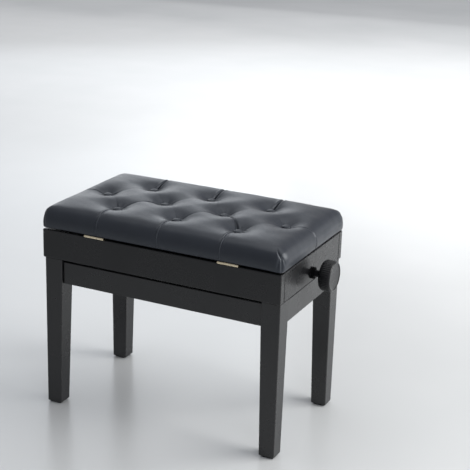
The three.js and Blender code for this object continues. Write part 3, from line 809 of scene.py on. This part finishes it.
def build_buttons():
    """Covered buttons: a domed leatherette cap gathered under at its edge."""
    for node, centre in zip(BUTTON_NODES, BUTTONS):
        low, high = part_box(node)
        radius = BUTTON_RADIUS + 0.4 * MM
        height = high.z - low.z
        profile = [(radius * 0.55, -0.5 * MM), (radius * 0.86, 0.1 * height), (radius * 0.97, 0.22 * height)]
        for i in range(DOME_STEPS):
            angle = math.pi / 2 * i / DOME_STEPS
            profile.append((radius * math.cos(angle), height * (0.42 + 0.66 * math.sin(angle))))
        profile.append((radius * 0.04, height * 1.08))

        def gathered(ring, r, angle):
            return r * (1 + 0.02 * math.cos(GATHERS * angle) * (ring < 4))

        button = turned(node.replace("cushion_", "covered_"), profile, 40, LEATHERETTE,
                        at=(centre.x, centre.y, low.z), radius_at=gathered)
        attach(button, "lid")
        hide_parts(node)


# ---- Knobs ----------------------------------------------------------------------------------------

KNOB_FLUTES = 46
FLUTE_DEPTH = 1.1 * MM
GRIP_LENGTH = 27 * MM          # from the back of the grip to the rim of the face
HUB_RADIUS = 10.5 * MM
GRIP_INSET = 1.2 * MM          # the grip's radius is this much smaller than the CAD solid's
FLUTED_RINGS = {4: 0.3, 5: 0.8, 6: 1.0, 7: 1.0, 8: 0.4}      # ring of the profile: share of the flute depth


def build_knob(side, sign):
    """Fluted knob with a bevelled back, a raised rim and a dished face, and the collar behind it."""
    low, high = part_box(f"knob_{side}")
    radius = (high.z - low.z) / 2 - GRIP_INSET
    length = high.x - low.x
    centre = centre_of(f"knob_{side}")
    inner = low.x if sign > 0 else high.x
    back = length - GRIP_LENGTH
    profile = [
        (3 * MM, back), (radius - 8 * MM, back), (radius - 5 * MM, back + 0.2 * MM),
        (radius - 3.6 * MM, back + 0.8 * MM), (radius - 1.4 * MM, back + 3.2 * MM),
        (radius - 0.5 * MM, back + 4.6 * MM), (radius - 0.1 * MM, back + 6 * MM),
        (radius - 0.1 * MM, back + 22.4 * MM), (radius - 0.5 * MM, back + 23.6 * MM),
        (radius - 0.9 * MM, back + 24.6 * MM), (radius - 1.4 * MM, back + 25.5 * MM),
        (radius - 2.1 * MM, back + 26.3 * MM), (radius - 2.9 * MM, back + 26.8 * MM),
        (radius - 3.7 * MM, back + 27 * MM), (radius - 4.5 * MM, back + 26.8 * MM),
        (radius - 5.3 * MM, back + 26.3 * MM), (radius - 6.3 * MM, back + 25.9 * MM),
        (radius - 10 * MM, back + 25.7 * MM), (radius - 20 * MM, back + 25.5 * MM),
        (3 * MM, back + 25.4 * MM),
    ]

    def radius_at(ring, r, angle):
        wave = abs(math.sin(KNOB_FLUTES * angle / 2))
        return r - FLUTE_DEPTH * FLUTED_RINGS.get(ring, 0) * (1 - wave ** 0.7)

    axis = "x" if sign > 0 else "-x"
    knob = turned(f"fluted_knob_{side}", profile, KNOB_FLUTES * 8, KNOB_PLASTIC,
                  axis=axis, at=(inner, 0, centre.z), radius_at=radius_at)
    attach(knob, "drive_screw")
    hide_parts(f"knob_{side}")
    shoulder = [
        (7.4 * MM, 0.2 * MM), (HUB_RADIUS - 1.0 * MM, 0),
        (HUB_RADIUS, 1.0 * MM), (HUB_RADIUS + 0.6 * MM, back - 0.2 * MM),
    ]
    collar = turned(f"knob_collar_{side}", shoulder, 48, PAD_PLASTIC, axis=axis, at=(inner, 0, centre.z))
    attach(collar, "drive_screw")


# ---- Hardware -------------------------------------------------------------------------------------

HINGE_SCREW_PITCH = 17 * MM
HINGE_SCREW_INSET = 6.5 * MM       # from the rear edge of the leaf
HINGE_SCREW_SEAT = 1.3 * MM        # from the wood under the leaf to the seat of the screw head
HINGE_SCREW_HEAD = [               # radius and height, from the edge in to the recess
    (2.45 * MM, -0.05 * MM), (2.2 * MM, 0.14 * MM), (1.1 * MM, 0.12 * MM),
    (1.0 * MM, -0.25 * MM), (0.5 * MM, -0.25 * MM),
]


def build_hinge_screws():
    """Countersunk screw heads in both leaves of each hinge."""
    box_seat_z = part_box("box_front")[1].z + HINGE_SCREW_SEAT
    lid_seat_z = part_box("lid_board")[0].z - HINGE_SCREW_SEAT
    leaves = (("box", "seat_box", "z", box_seat_z), ("lid", "lid", "-z", lid_seat_z))
    for side in SIDES:
        for part, body, axis, seat_z in leaves:
            leaf = f"hinge_{part}_leaf_{side}"
            screw_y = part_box(leaf)[1].y - HINGE_SCREW_INSET
            for i in (-1, 0, 1):
                screw_x = centre_of(leaf).x + i * HINGE_SCREW_PITCH
                screw = turned(f"hinge_screw_{part}_{side}_{i + 2}", HINGE_SCREW_HEAD, 20, BRASS,
                               axis=axis, at=(screw_x, screw_y, seat_z))
                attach(screw, body)


# ---- Stage, lights and camera ---------------------------------------------------------------------

FLOOR_REACH = 30.0             # metres from the middle to each edge


def build_stage():
    """A plain pale floor with a soft gloss."""
    s = Shader("pale_floor", Specular_IOR_Level=0.5)
    clouds = s.noise(1.2, 3)
    s.colour(s.mixed(s.ranged(clouds, 0, 1), (0.62, 0.635, 0.64), (0.68, 0.69, 0.695)))
    s.roughness(s.ranged(clouds, 0.2, 0.26))
    corners = [(x * FLOOR_REACH, y * FLOOR_REACH, 0) for x, y in ((-1, -1), (1, -1), (1, 1), (-1, 1))]
    floor = add_mesh("pale_floor", corners, [(0, 1, 2, 3)], s.material, smooth=False)


def area_light(name, at, look_at, size, power, colour=(1, 1, 1)):
    """A rectangular light at one point that faces another."""
    data = bpy.data.lights.new(name, "AREA")
    data.shape = "RECTANGLE"
    data.size, data.size_y = size
    data.energy = power
    data.color = colour
    light = bpy.data.objects.new(name, data)
    bpy.context.scene.collection.objects.link(light)
    light.location = at
    direction = Vector(look_at) - Vector(at)
    light.rotation_euler = direction.to_track_quat("-Z", "Y").to_euler()
    return light


def build_lights():
    """Soft daylight: a dim sky, large area lights round the bench, and one on the floor behind it."""
    world = bpy.data.worlds.new("soft_daylight")
    bpy.context.scene.world = world
    world.use_nodes = True
    background = world.node_tree.nodes["Background"]
    background.inputs["Color"].default_value = (0.93, 0.95, 1.0, 1)
    background.inputs["Strength"].default_value = 0.38
    middle = (cad_low + cad_high) / 2
    area_light("window_right", (2.5, 0.75, 1.35), Vector((0.6, 0.35, 0)), (2.2, 1.8), 82, (1, 0.99, 0.97))
    area_light("window_back", (-2.5, 3.2, 1.5), middle, (2.6, 1.8), 20, (0.90, 0.95, 1))
    area_light("window_front", (2.3, -2.3, 1.3), middle, (0.8, 1.6), 9.5, (0.94, 0.97, 1))
    area_light("horizon", (-0.6, 5.5, 0.8), middle, (9.0, 1.2), 21)
    area_light("ceiling", (0.2, 0.6, 3.2), middle, (3.0, 3.0), 30)
    far_floor = area_light("far_floor", (0.2, 1.2, 3.6), Vector((0.2, 4.9, 0)), (2.0, 2.0), 95)
    far_floor.data.spread = math.radians(100)


CAMERA_AZIMUTH = math.radians(25.51)
CAMERA_ELEVATION = math.radians(18.85)
CAMERA_ROLL = math.radians(1.83)
CAMERA_DISTANCE = 2.7          # metres
CAMERA_AIM = Vector((0.0951, 0.0069, 0.4118))
CAMERA_LENS = 97.06            # millimetres
SENSOR_WIDTH = 36


def build_camera():
    """The camera at the photograph's angle and distance."""
    data = bpy.data.cameras.new("camera")
    data.lens = CAMERA_LENS
    data.sensor_width = SENSOR_WIDTH
    camera = bpy.data.objects.new("camera", data)
    bpy.context.scene.collection.objects.link(camera)
    back = Vector((
        math.sin(CAMERA_AZIMUTH) * math.cos(CAMERA_ELEVATION),
        -math.cos(CAMERA_AZIMUTH) * math.cos(CAMERA_ELEVATION),
        math.sin(CAMERA_ELEVATION),
    ))
    camera.location = CAMERA_AIM + back * CAMERA_DISTANCE
    turn = (-back).to_track_quat("-Z", "Y").to_matrix() @ Matrix.Rotation(CAMERA_ROLL, 3, "Z")
    camera.rotation_euler = turn.to_euler()
    bpy.context.scene.camera = camera


bpy.context.scene.view_settings.view_transform = "Standard"
build_camera()
build_stage()
build_lights()
build_cushion()
build_buttons()
for side, sign in SIDES.items():
    build_knob(side, sign)
build_hinge_screws()
